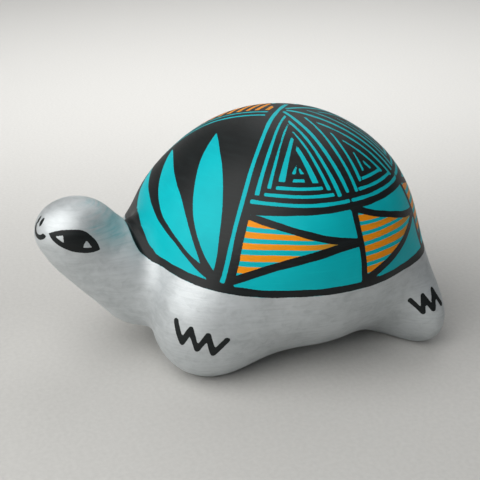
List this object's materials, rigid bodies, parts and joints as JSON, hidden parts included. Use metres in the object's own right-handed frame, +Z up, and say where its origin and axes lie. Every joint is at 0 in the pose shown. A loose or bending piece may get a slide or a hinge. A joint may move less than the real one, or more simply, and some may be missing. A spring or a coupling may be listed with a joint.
{
  "type": "painted clay turtle figure",
  "caption": "Hand-painted hollow clay turtle with a high domed shell, raised head and stubby legs, for standing on a shelf or table.",
  "frame": {"origin": "on the ground, under the middle of the figure's length and width", "axes": "+Z up; the head points along -Y and the tail along +Y; +X is the turtle's left side"},
  "size_m": [0.104, 0.142, 0.079],
  "materials": {
    "painted_shell": "matt teal, black and orange brush paint on fired clay",
    "silver_body": "satin silver brush paint on fired clay"
  },
  "bodies": {
    "root": {"shell_dome": "painted_shell", "seam_coil": "painted_shell", "belly_bowl": "silver_body", "head_and_neck": "silver_body", "neck_coil": "silver_body", "front_left_leg": "silver_body", "front_right_leg": "silver_body", "rear_left_leg": "silver_body", "rear_right_leg": "silver_body", "front_left_coil": "silver_body", "front_right_coil": "silver_body", "rear_left_coil": "silver_body", "rear_right_coil": "silver_body", "tail": "silver_body", "tail_coil": "silver_body"}
  },
  "joints": []
}
